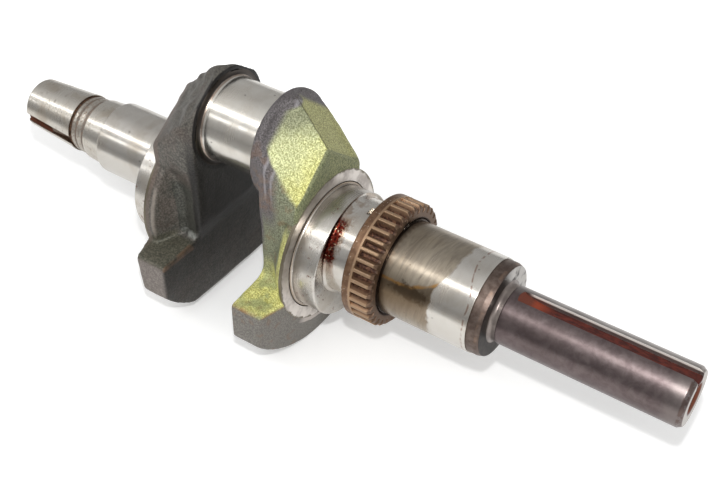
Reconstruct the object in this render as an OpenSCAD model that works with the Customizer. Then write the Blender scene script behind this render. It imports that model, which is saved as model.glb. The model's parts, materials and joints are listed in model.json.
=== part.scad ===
// Crankshaft of a one-cylinder small engine with eccentric-driven balance weights.
//
// Frame: the crank turns about X. +X points to the power take-off end, +Z along the throw towards the
// crankpin, and the origin is on the axis of rotation at the middle of the power take-off main journal.
// The crank stands as it does on a bench: on the two counterweights, with the crankpin on top.
//
// The real crank is one forging with a pressed-on timing gear and its key. Here the forging is divided at
// its machined shoulders, so that each section is a solid of its own and neighbours meet face to face.

/* [Output shaft] */
// Diameter of the power take-off shaft
output_d = 25.4; // [20:0.1:32]
// Length of the power take-off shaft, from the journal step to the end face
output_len = 81.4; // [60:0.1:110]
// Length of the turned neck beside the journal step
neck_len = 3; // [2:0.1:5]
// Length of the shaft's root, where the keyway runs out
root_len = 4.1; // [4:0.1:8]
// Width of the keyway in the power take-off shaft
output_key_w = 6.35; // [4:0.05:8]
// Height of the keyway floor above the axis
output_key_floor = 9.6; // [8:0.1:11]
// Distance from the end face to where the keyway runs out
output_key_len = 75.5; // [40:0.5:76]
// Tapping diameter of the bolt hole in the end face
tap_d = 9.9; // [6:0.1:11]
// Depth of the bolt hole in the end face
tap_depth = 30; // [15:1:45]
// Mouth diameter of the countersink of the bolt hole
tap_mouth_d = 12.6; // [11:0.1:16]

/* [Main journal and timing gear] */
// Diameter of the main journal on the power take-off side
journal_d = 42; // [36:0.1:50]
// Diameter of the gear's seat, larger than the journal that the timing gear slides over
seat_d = 43; // [42.8:0.1:44]
// Length of the main journal from the gear to the step
journal_len = 46.9; // [40:0.1:60]
// Length of the unpolished shoulder at the end of the journal
shoulder_len = 5.7; // [4:0.1:8]
// Number of teeth on the timing gear
teeth = 36; // [30:2:42]
// Diameter over the teeth of the timing gear
gear_d = 55.7; // [52:0.1:60]
// Width of the timing gear
gear_w = 13.5; // [10:0.1:18]
// Thickness of the flange that closes the tooth gaps on the web side
gear_flange_w = 4.2; // [2:0.1:6]
// Length of the bare part of the gear seat
seat_len = 13.3; // [10:0.1:16]
// Width of the key between the seat and the timing gear
gear_key_w = 4.76; // [3:0.01:6]

/* [Balancer eccentrics] */
// Diameter of the two eccentrics
eccentric_d = 56.9; // [52:0.1:60]
// Offset of the eccentrics from the axis, away from the crankpin
eccentric_offset = 6.77; // [4:0.01:7]
// Width of the eccentric on the power take-off side
pto_eccentric_w = 11.9; // [9:0.1:15]
// Width of the eccentric on the flywheel side
flywheel_eccentric_w = 12.2; // [9:0.1:15]
// Diameter of the thrust discs beside the eccentrics
disc_d = 71; // [66:0.1:74]

/* [Webs] */
// Radius of the throw, which is half the stroke
throw = 38.9; // [34:0.1:42]
// Diameter of the crankpin
crankpin_d = 38.1; // [34:0.05:40]
// Length of the crankpin between the cheeks
crankpin_len = 30; // [26:0.1:32]
// Height of the cheek that stands out from the power take-off web
cheek_w = 4.3; // [2:0.1:5]
// Thickness of the power take-off web, from its inner face to the thrust face
pto_web_w = 19.2; // [18:0.1:21]
// Thickness of the flywheel web, from its inner face to the thrust face
flywheel_web_w = 23.1; // [22:0.1:26]
// Half of the width of the webs
web_half_w = 24.2; // [23:0.1:24.2]
// Radius of the counterweights about the axis
counterweight_r = 58.5; // [56:0.1:62]
// Half of the width across the ears of a counterweight
ear_half_w = 46.2; // [44:0.1:50]
// Height of the top of the ears, below the axis
ear_z = -16.3; // [-18:0.1:-14]

/* [Flywheel end] */
// Diameter of the magneto journal
magneto_d = 34.95; // [30:0.05:38]
// Length of the magneto journal
magneto_len = 33.7; // [28:0.1:40]
// Diameter of the flywheel taper at its large end
taper_d = 31.5; // [28:0.1:33]
// Fall of the taper's radius for each millimetre of its length
taper_slope = 0.066; // [0.05:0.001:0.07]
// Length of the taper behind the groove
taper_root_len = 11; // [8:0.1:14]
// Width of the groove round the taper
groove_w = 9.8; // [6:0.1:12]
// Length of the taper in front of the groove
taper_end_len = 31.7; // [25:0.1:36]
// Width of the flywheel keyway
flywheel_key_w = 4.8; // [4:0.05:6]
// Angle of the flywheel keyway from the crankpin, about the axis
flywheel_key_angle = 98.6; // [90:0.1:110]

/* [Hidden] */
$fn = 96;
over = 1;         // how far a cutting shape runs past the face that it cuts
wide = 200;       // side of a block that is larger than the whole crank

output_r = output_d / 2;
journal_r = journal_d / 2;
seat_r = seat_d / 2;
gear_r = gear_d / 2;
eccentric_r = eccentric_d / 2;
disc_r = disc_d / 2;
magneto_r = magneto_d / 2;
crankpin_r = crankpin_d / 2;
taper_r = taper_d / 2;

// Stations along the axis, from the power take-off end to the flywheel end
x_step = journal_len / 2;
x_end = x_step + output_len;
x_neck = x_step + neck_len;
x_root = x_neck + root_len;
x_shoulder = x_step - shoulder_len;
x_gear = -journal_len / 2;
x_gear_back = x_gear - gear_w;
x_seat = x_gear_back - seat_len;
x_pto_thrust = x_seat - pto_eccentric_w;
x_pto_inner = x_pto_thrust - pto_web_w;
x_pin_pto = x_pto_inner - cheek_w;
x_pin_flywheel = x_pin_pto - crankpin_len;
x_flywheel_thrust = x_pin_flywheel - flywheel_web_w;
x_magneto = x_flywheel_thrust - flywheel_eccentric_w;
x_taper = x_magneto - magneto_len;
x_groove = x_taper - taper_root_len;
x_groove_end = x_groove - groove_w;
x_tip = x_groove_end - taper_end_len;

// Output shaft
end_chamfer_r = 1.2;
end_chamfer_x = 2;
neck_r = output_r - 0.35;
neck_fillet = 1.5;
cutter_r = 22;               // radius of the disc cutter that leaves the keyway's run-out
cutter_reach = sqrt(pow(cutter_r, 2) - pow(cutter_r - (output_r - output_key_floor), 2));

// Main journal
shoulder_r = journal_r - 0.5;    // the unpolished shoulder is turned a little below the journal
shoulder_chamfer_r = 0.6;
shoulder_chamfer_x = 2.1;

// Timing gear: teeth of full depth at a module taken from the diameter over the teeth
gear_module = gear_d / (teeth + 2);
tooth_depth = 2.25 * gear_module;
root_r = gear_r - tooth_depth;
pitch_r = gear_r - gear_module;
tip_half = 50 / teeth;        // half of the angle that a tooth takes up at its tip, pitch line and root
pitch_half = 90 / teeth;
root_half = 130 / teeth;
tip_r = gear_r - 0.1;        // the flange stands this much proud of the teeth
gear_bevel = 1.3;
gear_key_depth = 2;          // how deep the key sits in the seat, and how far it stands out of it
key_slot_run = 5;            // how far the key slot runs out of the gear, towards the eccentric
edge_chamfer = 0.5;
bore_chamfer = 0.6;

// Webs
boss_r = 24.3;               // round end of the webs, about the crankpin
waist_fillet = 5;
split_z = ear_z + waist_fillet;
ear_draft = 1.5;             // fall of the ear's top from the waist to its corner
ear_corner = 2;
disc_ramp = disc_r - web_half_w;   // the thrust disc grows out of the waist on a 45 degree cone
disc_rim = 1.5;              // width of the disc's turned rim
flywheel_disc_rim = 5.6;
flywheel_ramp_w = 6;
// The two sloping facets of each crankpin end: the height at which their ridge leaves the thrust face,
// then their fall for each millimetre of height and for each millimetre from the ridge
pto_facets = [42.7, 0.78, 0.65];
flywheel_facets = [46, 1.05, 0.76];
facet_base = 22;             // height at which the waist of the power take-off web ends
waist_in = 7.3;              // the waist's outer face lies this far inside the thrust face
waist_top = 17;
waist_step = 4;
outer_cone = 0.29;           // fall of the counterweights' outer faces for each millimetre outside the disc
inner_chamfer_z = -50.5;
inner_chamfer_x = 6.5;
flywheel_inner_step = 3.6;   // the flywheel counterweight's inner face lies this far behind the waist's
scoop_r = 16;                // a scoop forged into each side of the flywheel web
scoop_depth = 2.6;
scoop_x = 12.5;              // distance of the scoop's axis from the thrust face
scoop_top = 12;
cheek_round = 1;
pin_fillet = 2.4;

// Flywheel end
groove_depth = 0.7;
taper_chamfer = 1.2;
key_floor_deep = 10.2;
key_floor_shallow = 12.3;
key_deep_len = 18;
magneto_chamfer = 0.8;

function taper_radius(x) = taper_r - taper_slope * (x_taper - x);

// Points of an arc about c, from angle a to angle b
function arc(c, r, a, b, steps = 12) =
    [for (i = [0 : steps]) c + r * [cos(a + (b - a) * i / steps), sin(a + (b - a) * i / steps)]];

// The other half of a symmetrical outline, without the two points that both halves share
function mirrored(points) =
    [for (i = [len(points) - 2 : -1 : 1]) [-points[i].x, points[i].y]];

// A body of revolution about the crank's axis: each point is [radius, x]
module turned(points) {
    rotate([0, 90, 0]) rotate_extrude() polygon(points);
}

// A body of revolution about the axis of the eccentrics
module turned_off_centre(points) {
    translate([0, 0, -eccentric_offset]) turned(points);
}

// A plate between two stations, whose outline is drawn in the plane across the axis as [y, z]
module plate(x0, x1) {
    translate([x0, 0, 0]) rotate([90, 0, 90]) linear_extrude(x1 - x0) children();
}

// A bar across the whole crank, whose outline is drawn in the plane of the throw as [x, z]
module bar() {
    translate([0, wide / 2, 0]) rotate([90, 0, 0]) linear_extrude(wide) children();
}

// Power take-off end ------------------------------------------------------------------------------

module output_keyway() {
    x_run = x_end - output_key_len;
    translate([x_run + cutter_reach, -output_key_w / 2, output_key_floor])
        cube([output_key_len, output_key_w, output_r]);
    translate([x_run + cutter_reach, output_key_w / 2, output_key_floor + cutter_r])
        rotate([90, 0, 0]) cylinder(r = cutter_r, h = output_key_w);
}

module bolt_hole() {
    sink = (tap_mouth_d - tap_d) / 2;
    turned([
        [0, x_end + over], [tap_mouth_d / 2 + over, x_end + over], [tap_mouth_d / 2, x_end],
        [tap_d / 2, x_end - sink], [tap_d / 2, x_end - tap_depth], [0, x_end - tap_depth - tap_d / 4],
    ]);
}

module output_shaft() {
    color("#6e6769")
    difference() {
        turned([
            [0, x_root], [output_r, x_root], [output_r, x_end - end_chamfer_x],
            [output_r - end_chamfer_r, x_end], [0, x_end],
        ]);
        output_keyway();
        bolt_hole();
    }
}

module output_shaft_root() {
    color("#77706f")
    difference() {
        turned([[0, x_neck], [output_r, x_neck], [output_r, x_root], [0, x_root]]);
        output_keyway();
    }
}

module output_shaft_neck() {
    color("#8a8583")
    turned(concat(
        [[0, x_step], [neck_r + neck_fillet, x_step]],
        arc([neck_r + neck_fillet, x_step + neck_fillet], neck_fillet, 270, 180),
        [[neck_r, x_neck], [0, x_neck]]
    ));
}

module journal_shoulder() {
    color("#54453a")
    turned([
        [0, x_shoulder], [shoulder_r, x_shoulder], [shoulder_r, x_step - shoulder_chamfer_x],
        [shoulder_r - shoulder_chamfer_r, x_step], [0, x_step],
    ]);
}

module pto_main_journal() {
    color("#b3a99c")
    turned([[0, x_gear], [journal_r, x_gear], [journal_r, x_shoulder], [0, x_shoulder]]);
}

// Timing gear, its key and its seat ---------------------------------------------------------------

module key_block(r0, r1, x0, x1) {
    translate([x0, -gear_key_w / 2, r0]) cube([x1 - x0, gear_key_w, r1 - r0]);
}

function polar(r, a) = [r * sin(a), r * cos(a)];

// The outline of all the teeth as [y, z], with a tooth gap in line with the crankpin
gear_outline = [
    for (i = [0 : teeth - 1])
        let (a = (i + 0.5) * 360 / teeth)
            each [
                polar(root_r, a - root_half), polar(pitch_r, a - pitch_half), polar(tip_r, a - tip_half),
                polar(tip_r, a + tip_half), polar(pitch_r, a + pitch_half), polar(root_r, a + root_half),
            ]
];

module gear_teeth() {
    x_flange = x_gear_back + gear_flange_w;
    reach = gear_bevel + over;
    intersection() {
        plate(x_flange, x_gear) polygon(gear_outline);
        turned([
            [0, x_flange - over], [tip_r + over, x_flange - over], [tip_r + over, x_gear - reach],
            [tip_r - reach, x_gear + over], [0, x_gear + over],
        ]);
    }
}

module timing_gear() {
    color("#8c6e55")
    difference() {
        union() {
            turned([
                [0, x_gear_back], [gear_r - edge_chamfer, x_gear_back],
                [gear_r, x_gear_back + edge_chamfer], [gear_r, x_gear_back + gear_flange_w],
                [0, x_gear_back + gear_flange_w],
            ]);
            gear_teeth();
        }
        turned([
            [0, x_gear_back - over], [seat_r, x_gear_back - over], [seat_r, x_gear - bore_chamfer],
            [seat_r + bore_chamfer + over, x_gear + over], [0, x_gear + over],
        ]);
        key_block(0, seat_r + gear_key_depth, x_gear_back - over, x_gear + over);
    }
}

module gear_key() {
    color("#5a3a2c")
    key_block(seat_r - gear_key_depth, seat_r + gear_key_depth, x_gear_back, x_gear - gear_bevel);
}

module gear_seat() {
    color("#a39a90")
    difference() {
        turned([[0, x_seat], [seat_r, x_seat], [seat_r, x_gear], [0, x_gear]]);
        key_block(seat_r - gear_key_depth, wide, x_gear_back - key_slot_run, x_gear + over);
    }
}

// Eccentrics and thrust discs ----------------------------------------------------------------------

module pto_eccentric() {
    color("#aaa49c")
    turned_off_centre([
        [0, x_pto_thrust], [eccentric_r, x_pto_thrust], [eccentric_r, x_seat - edge_chamfer],
        [eccentric_r - edge_chamfer, x_seat], [0, x_seat],
    ]);
}

module pto_thrust_disc() {
    color("#8d8886")
    pto_disc_body();
}

module pto_disc_body() {
    x_rim = x_pto_thrust - disc_rim;
    turned_off_centre([
        [0, x_rim - disc_ramp], [disc_r - disc_ramp, x_rim - disc_ramp], [disc_r, x_rim],
        [disc_r, x_pto_thrust], [0, x_pto_thrust],
    ]);
}

module flywheel_thrust_disc() {
    color("#5b5049")
    flywheel_disc_body();
}

module flywheel_disc_body() {
    x_rim = x_flywheel_thrust + flywheel_disc_rim;
    turned_off_centre([
        [0, x_flywheel_thrust], [disc_r, x_flywheel_thrust], [disc_r, x_rim],
        [disc_r - disc_ramp, x_rim + flywheel_ramp_w], [0, x_rim + flywheel_ramp_w],
    ]);
}

module flywheel_eccentric() {
    color("#aaa49c")
    turned_off_centre([
        [0, x_magneto], [eccentric_r - edge_chamfer, x_magneto], [eccentric_r, x_magneto + edge_chamfer],
        [eccentric_r, x_flywheel_thrust], [0, x_flywheel_thrust],
    ]);
}

// Webs and counterweights --------------------------------------------------------------------------

// One half of the outline of a web with its counterweight, from the top round to the lowest point
ear_side_z = -sqrt(pow(counterweight_r, 2) - pow(ear_half_w, 2));
boss_turn = acos(web_half_w / boss_r);
web_half = concat(
    arc([0, throw], boss_r, 90, 180 + boss_turn, 18),
    arc([-web_half_w - waist_fillet, split_z], waist_fillet, 0, -90, 6),
    arc([-ear_half_w + ear_corner, ear_z - ear_draft - ear_corner], ear_corner, 90, 180, 4),
    arc([0, 0], counterweight_r, 180 + atan2(-ear_side_z, ear_half_w), 270)
);

module web_outline() {
    polygon(concat(web_half, mirrored(web_half)));
}

// The space on the web's side of the two facets, which meet on the parting ridge; the web lies towards -X
module facet_roof(facets) {
    lean = atan2(facets[1], sqrt(1 + facets[2] * facets[2]));
    turn = atan(facets[2]);
    intersection_for (side = [-1, 1])
        translate([0, 0, facets[0]]) rotate([0, -lean, side * turn])
            translate([-wide, -wide / 2, -wide / 2]) cube(wide);
}

module below_split() {
    translate([-wide * 1.5, -wide / 2, split_z - wide]) cube([wide * 2, wide, wide]);
}

// Everything on the web's side of a shallow cone, which leaves the thrust face at the disc's edge
module outer_face_cone(x_face, x_back, side) {
    rim = wide / 2;
    turned_off_centre([
        [0, x_back], [rim, x_back], [rim, x_face - side * outer_cone * (rim - disc_r)],
        [disc_r, x_face], [0, x_face],
    ]);
}

module pto_forging() {
    bottom = -counterweight_r - over;
    top = throw + boss_r + over;
    x_waist = x_pto_thrust - waist_in;
    intersection() {
        plate(x_pto_inner, x_pto_thrust) web_outline();
        bar() polygon([
            [x_pto_inner, top], [x_pto_inner, inner_chamfer_z], [x_pto_inner + inner_chamfer_x, bottom],
            [x_pto_thrust, bottom], [x_pto_thrust, ear_z], [x_waist, ear_z + waist_step],
            [x_waist, waist_top], [x_pto_thrust, facet_base], [x_pto_thrust, top],
        ]);
        translate([x_pto_thrust, 0, 0]) facet_roof(pto_facets);
    }
}

module pto_web() {
    color("#7d7c45")
    difference() {
        pto_forging();
        below_split();
        pto_disc_body();
    }
}

module pto_counterweight() {
    color("#7b7670")
    difference() {
        intersection() {
            pto_forging();
            below_split();
            outer_face_cone(x_pto_thrust, x_pto_inner - over, 1);
        }
        pto_disc_body();
    }
}

module flywheel_scoop() {
    x = x_flywheel_thrust + scoop_x;
    for (side = [-1, 1])
        translate([x, side * (web_half_w + scoop_r - scoop_depth), 0]) {
            translate([0, 0, ear_z]) cylinder(r = scoop_r, h = scoop_top - ear_z);
            translate([0, 0, scoop_top]) sphere(r = scoop_r);
        }
}

module flywheel_forging() {
    bottom = -counterweight_r - over;
    top = throw + boss_r + over;
    x_inner = x_pin_flywheel - flywheel_inner_step;
    intersection() {
        plate(x_flywheel_thrust, x_pin_flywheel) web_outline();
        bar() polygon([
            [x_pin_flywheel, top], [x_pin_flywheel, split_z + waist_step], [x_inner, ear_z],
            [x_inner, inner_chamfer_z], [x_inner - inner_chamfer_x, bottom], [x_flywheel_thrust, bottom],
            [x_flywheel_thrust, top],
        ]);
        translate([x_flywheel_thrust, 0, 0]) mirror([1, 0, 0]) facet_roof(flywheel_facets);
    }
}

module flywheel_web() {
    color("#3c3834")
    difference() {
        flywheel_forging();
        below_split();
        flywheel_disc_body();
        flywheel_scoop();
    }
}

module flywheel_counterweight() {
    color("#4a4542")
    difference() {
        intersection() {
            flywheel_forging();
            below_split();
            outer_face_cone(x_flywheel_thrust, x_pin_flywheel + over, -1);
        }
        flywheel_disc_body();
        flywheel_scoop();
    }
}

// Crankpin ------------------------------------------------------------------------------------------

module turned_about_pin(points) {
    translate([0, 0, throw]) turned(points);
}

module pto_cheek() {
    color("#55505a")
    turned_about_pin([
        [0, x_pin_pto], [boss_r - cheek_round, x_pin_pto], [boss_r, x_pin_pto + cheek_round],
        [boss_r, x_pto_inner], [0, x_pto_inner],
    ]);
}

module crankpin() {
    color("#b9b4ad")
    turned_about_pin([
        [0, x_pin_flywheel + pin_fillet], [crankpin_r, x_pin_flywheel + pin_fillet],
        [crankpin_r, x_pin_pto - pin_fillet], [0, x_pin_pto - pin_fillet],
    ]);
}

module pin_fillet_ring(x_cheek, side) {
    r = crankpin_r + pin_fillet;
    color("#a5a09a")
    turned_about_pin(concat(
        [[0, x_cheek], [r, x_cheek]],
        arc([r, x_cheek + side * pin_fillet], pin_fillet, -side * 90, -side * 180, 8),
        [[0, x_cheek + side * pin_fillet]]
    ));
}

module pin_fillet_pto() {
    pin_fillet_ring(x_pin_pto, -1);
}

module pin_fillet_flywheel() {
    pin_fillet_ring(x_pin_flywheel, 1);
}

// Flywheel end --------------------------------------------------------------------------------------

module flywheel_keyway() {
    rotate([flywheel_key_angle, 0, 0]) {
        translate([x_tip - over, -flywheel_key_w / 2, key_floor_deep])
            cube([key_deep_len + over, flywheel_key_w, taper_r]);
        translate([x_tip - over, -flywheel_key_w / 2, key_floor_shallow])
            cube([taper_end_len + over, flywheel_key_w, taper_r]);
    }
}

module magneto_journal() {
    color("#b0aba4")
    turned([
        [0, x_taper], [magneto_r - magneto_chamfer, x_taper], [magneto_r, x_taper + magneto_chamfer],
        [magneto_r, x_magneto], [0, x_magneto],
    ]);
}

module taper_root() {
    color("#a9a49c")
    turned([[0, x_groove], [taper_radius(x_groove), x_groove], [taper_r, x_taper], [0, x_taper]]);
}

module taper_groove() {
    r = taper_radius(x_groove) - groove_depth;
    color("#7a5a45")
    turned([[0, x_groove_end], [r - groove_depth, x_groove_end], [r, x_groove], [0, x_groove]]);
}

module flywheel_taper() {
    tip_r = taper_radius(x_tip);
    color("#a39e97")
    difference() {
        turned([
            [0, x_tip], [tip_r - taper_chamfer, x_tip], [tip_r, x_tip + taper_chamfer],
            [taper_radius(x_groove_end), x_groove_end], [0, x_groove_end],
        ]);
        flywheel_keyway();
    }
}

output_shaft();
output_shaft_root();
output_shaft_neck();
journal_shoulder();
pto_main_journal();
timing_gear();
gear_key();
gear_seat();
pto_eccentric();
pto_thrust_disc();
pto_web();
pto_counterweight();
pto_cheek();
pin_fillet_pto();
crankpin();
pin_fillet_flywheel();
flywheel_web();
flywheel_counterweight();
flywheel_thrust_disc();
flywheel_eccentric();
magneto_journal();
taper_root();
taper_groove();
flywheel_taper();
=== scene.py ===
"""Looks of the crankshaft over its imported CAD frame: turned pieces, forgings and their materials."""

import json
import math

import bmesh
import bpy
import numpy as np
from mathutils import Matrix, Vector, noise


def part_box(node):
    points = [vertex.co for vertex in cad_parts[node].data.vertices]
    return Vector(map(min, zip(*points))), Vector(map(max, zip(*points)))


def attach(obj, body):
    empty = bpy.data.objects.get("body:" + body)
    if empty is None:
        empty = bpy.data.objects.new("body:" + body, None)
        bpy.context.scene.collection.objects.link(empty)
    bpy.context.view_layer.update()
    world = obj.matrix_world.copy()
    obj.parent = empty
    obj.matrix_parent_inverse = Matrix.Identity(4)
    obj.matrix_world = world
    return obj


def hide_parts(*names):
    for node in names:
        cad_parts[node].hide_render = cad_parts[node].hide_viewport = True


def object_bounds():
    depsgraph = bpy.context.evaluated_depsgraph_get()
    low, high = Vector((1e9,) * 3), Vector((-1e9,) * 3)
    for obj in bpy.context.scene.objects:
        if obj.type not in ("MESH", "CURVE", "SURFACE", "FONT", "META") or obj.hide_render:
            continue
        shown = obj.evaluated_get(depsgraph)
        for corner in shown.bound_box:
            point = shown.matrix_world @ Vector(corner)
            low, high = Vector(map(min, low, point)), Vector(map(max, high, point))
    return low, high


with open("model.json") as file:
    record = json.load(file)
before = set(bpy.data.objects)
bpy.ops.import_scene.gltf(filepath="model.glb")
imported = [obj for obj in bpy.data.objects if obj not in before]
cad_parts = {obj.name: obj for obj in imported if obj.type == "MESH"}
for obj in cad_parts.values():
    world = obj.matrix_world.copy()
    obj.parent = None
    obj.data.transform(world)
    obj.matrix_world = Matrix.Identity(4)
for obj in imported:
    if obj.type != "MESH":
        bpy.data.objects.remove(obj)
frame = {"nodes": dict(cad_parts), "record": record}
cad_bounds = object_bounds()

MM = 0.001
SHARP = math.radians(32)         # edges sharper than this keep their crease
SHARP_CUT = math.radians(45)     # the same, on a piece with a slot cut in it
SHARP_FORGED = math.radians(80)  # the same, on a forging

# Places read from the frame ------------------------------------------------------------------------


def start(node):
    """The end of a node that is nearer the flywheel, in metres along the crank."""
    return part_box(node)[0].x


def stop(node):
    """The end of a node that is nearer the output end, in metres along the crank."""
    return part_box(node)[1].x


def span(node):
    """Both ends of a node, the flywheel's first."""
    return start(node), stop(node)


def radius(node):
    """The radius of a turned node, from its width across the crank."""
    low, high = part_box(node)
    return (high.y - low.y) / 2


def centre(node):
    """The middle of a turned node."""
    low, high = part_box(node)
    return (low + high) / 2


def mount(name):
    """A mount, by its name in the record."""
    return next(m for m in frame["record"]["mounts"] if m["name"] == name)


ECCENTRIC_Z = centre("pto_eccentric").z
PIN_Z = centre("crankpin").z
BOSS_R = radius("pto_cheek")
DISC_R = radius("pto_thrust_disc")
ECCENTRIC_R = radius("pto_eccentric")
PIN_R = radius("crankpin")
PTO_THRUST = start("pto_eccentric")
FLYWHEEL_THRUST = stop("flywheel_eccentric")
PTO_INNER = start("pto_web")
PIN_PTO = stop("pin_fillet_pto")
PIN_FLYWHEEL = start("pin_fillet_flywheel")

# Mesh building -------------------------------------------------------------------------------------


def object_from(name, bm):
    """A finished bmesh as a new object in the scene, smooth except at its sharp edges."""
    mesh = bpy.data.meshes.new(name)
    bm.to_mesh(mesh)
    bm.free()
    obj = bpy.data.objects.new(name, mesh)
    bpy.context.scene.collection.objects.link(obj)
    mesh.polygons.foreach_set("use_smooth", np.ones(len(mesh.polygons), bool))
    mesh.set_sharp_from_angle(angle=SHARP)
    return obj


def settle(obj):
    """Applies an object's modifiers to its mesh."""
    bpy.context.view_layer.update()
    graph = bpy.context.evaluated_depsgraph_get()
    mesh = bpy.data.meshes.new_from_object(obj.evaluated_get(graph))
    obj.modifiers.clear()
    obj.data = mesh
    return obj


def arc(x, r, radius_, first, last, steps=5):
    """Points of an arc in the plane of a profile, with angles in degrees from +X towards larger radii."""
    angles = [math.radians(first + (last - first) * i / steps) for i in range(steps + 1)]
    return [(x + radius_ * math.cos(a), r + radius_ * math.sin(a)) for a in angles]


def softened(profile, size, steps=3):
    """A profile with each corner that isn't on the axis replaced by a small arc-like curve."""
    out = [profile[0]]
    for before, here, after in zip(profile, profile[1:], profile[2:]):
        p = [Vector(q) for q in (before, here, after)]
        reach = min(size, (p[0] - p[1]).length * 0.45, (p[2] - p[1]).length * 0.45)
        a = p[1] + (p[0] - p[1]).normalized() * reach
        b = p[1] + (p[2] - p[1]).normalized() * reach
        for i in range(steps + 1):
            t = i / steps
            q = a * (1 - t) ** 2 + p[1] * 2 * t * (1 - t) + b * t * t
            out.append((q.x, q.y))
    out.append(profile[-1])
    return out


def lathe(name, profile, centre_z=0.0, segments=224):
    """A turned piece: profile is [(x, radius)], and a radius of 0 closes it on the axis."""
    bm = bmesh.new()
    rings = []
    for x, r in profile:
        if r <= 0:
            rings.append([bm.verts.new((x, 0, centre_z))])
            continue
        turn = [2 * math.pi * i / segments for i in range(segments)]
        rings.append([bm.verts.new((x, r * math.sin(t), centre_z + r * math.cos(t))) for t in turn])
    for a, b in zip(rings, rings[1:]):
        for i in range(segments):
            j = (i + 1) % segments
            corners = [a[i % len(a)], a[j % len(a)], b[j % len(b)], b[i % len(b)]]
            face = list(dict.fromkeys(corners))
            if len(face) > 2:
                bm.faces.new(face)
    bmesh.ops.recalc_face_normals(bm, faces=bm.faces)
    return object_from(name, bm)


def turned(name, profile, centre_z=0.0):
    """A turned piece with flat ends: profile is [(x, radius)] along its outside."""
    return lathe(name, [(profile[0][0], 0), *profile, (profile[-1][0], 0)], centre_z)


def block(name, low, high):
    """A block between two corners."""
    bm = bmesh.new()
    bmesh.ops.create_cube(bm, size=1)
    low, high = Vector(low), Vector(high)
    size = high - low
    place = Matrix.Translation((low + high) / 2) @ Matrix.Diagonal((*size, 1))
    bmesh.ops.transform(bm, matrix=place, verts=bm.verts)
    return object_from(name, bm)


def break_edges(obj, width, segments):
    """Rounds off the sharp edges of a piece."""
    bevel = obj.modifiers.new("edge", "BEVEL")
    bevel.width = width
    bevel.segments = segments
    bevel.limit_method = "ANGLE"
    bevel.angle_limit = math.radians(40)
    return settle(obj)


def cut(obj, cutter, edge=0.12 * MM):
    """Takes a cutter out of a piece, then breaks the sharp edges that this leaves."""
    boolean = obj.modifiers.new("cut", "BOOLEAN")
    boolean.operation = "DIFFERENCE"
    boolean.solver = "EXACT"
    boolean.object = cutter
    settle(obj)
    bpy.data.objects.remove(cutter)
    break_edges(obj, edge, 2)
    obj.data.set_sharp_from_angle(angle=SHARP_CUT)
    return obj


def weighted(obj):
    """Lets the large faces set the shading, so that flats stay flat beside a small round edge."""
    obj.modifiers.new("weighted", "WEIGHTED_NORMAL").keep_sharp = True


# Turned pieces -------------------------------------------------------------------------------------

END_HOLE_R = mount("end_bolt_hole")["dims"]["r_mm"] * MM
THREAD_PITCH, THREAD_DEPTH, THREAD_TURNS = 1.8 * MM, 0.35 * MM, 9
KEY_FLOOR = mount("output_keyway")["pos_m"][2]
KEY_WIDTH = 6.35 * MM
KEY_LENGTH = mount("output_keyway")["dims"]["length_mm"] * MM
CUTTER_R = 22 * MM
GEAR_KEY_LOW, GEAR_KEY_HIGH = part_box("gear_key")
KEY_HALF = (GEAR_KEY_HIGH.y - GEAR_KEY_LOW.y) / 2
TEETH = 36
TOOTH_FILLET = 0.35 * MM
TURNED_FILLET = 1.5 * MM
TAPER = 0.066  # radius gained per length, along the flywheel's taper
FLYWHEEL_KEY_HALF = 2.4 * MM
FLYWHEEL_KEY_LENGTH = mount("flywheel_keyway")["dims"]["length_mm"] * MM
FLYWHEEL_KEY_DEEP, FLYWHEEL_KEY_SHALLOW = 10.2 * MM, 12.3 * MM


def keyway_cutter():
    """The slot along the output shaft, with the run-out that a disc cutter leaves."""
    r = radius("output_shaft")
    reach = math.sqrt(CUTTER_R**2 - (CUTTER_R - (r - KEY_FLOOR)) ** 2)
    end, past = stop("output_shaft"), 5 * MM
    x, top = end - KEY_LENGTH + reach, KEY_FLOOR + CUTTER_R
    steps = 40
    turn = [math.radians(180 + 90 * i / steps) for i in range(steps + 1)]
    outline = [(x + CUTTER_R * math.cos(a), top + CUTTER_R * math.sin(a)) for a in turn]
    outline += [(end + past, KEY_FLOOR), (end + past, top)]
    bm = bmesh.new()
    face = bm.faces.new([bm.verts.new((u, -KEY_WIDTH / 2, v)) for u, v in outline])
    side = bmesh.ops.extrude_face_region(bm, geom=[face])["geom"]
    corners = [v for v in side if isinstance(v, bmesh.types.BMVert)]
    bmesh.ops.translate(bm, vec=(0, KEY_WIDTH, 0), verts=corners)
    bmesh.ops.recalc_face_normals(bm, faces=bm.faces)
    return object_from("keyway_cutter", bm)


def output_shaft():
    """The keyed shaft as far as its neck, with a chamfered end and thread turns in its bolt hole."""
    r, end, back = radius("output_shaft"), stop("output_shaft"), start("output_shaft_root")
    sink = 1.35 * MM
    outside = [(back, 0), (back, r - 0.2 * MM), (back + 0.3 * MM, r), (end - 2 * MM, r),
               (end, r - 1.2 * MM), (end, END_HOLE_R + 2 * sink)]
    hole = [(end - 0.2 * MM, END_HOLE_R + sink), (end - sink, END_HOLE_R)]
    for turn in range(THREAD_TURNS):
        x = end - sink - turn * THREAD_PITCH
        hole += [(x - THREAD_PITCH * 0.5, END_HOLE_R - THREAD_DEPTH * 0.1),
                 (x - THREAD_PITCH * 0.75, END_HOLE_R - THREAD_DEPTH), (x - THREAD_PITCH, END_HOLE_R)]
    floor = hole[-1][0] - 3 * MM
    hole += [(floor, END_HOLE_R), (floor - 2 * MM, 0)]
    return cut(lathe("output_shaft_turned", softened(outside, 0.3 * MM) + hole), keyway_cutter())


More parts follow.
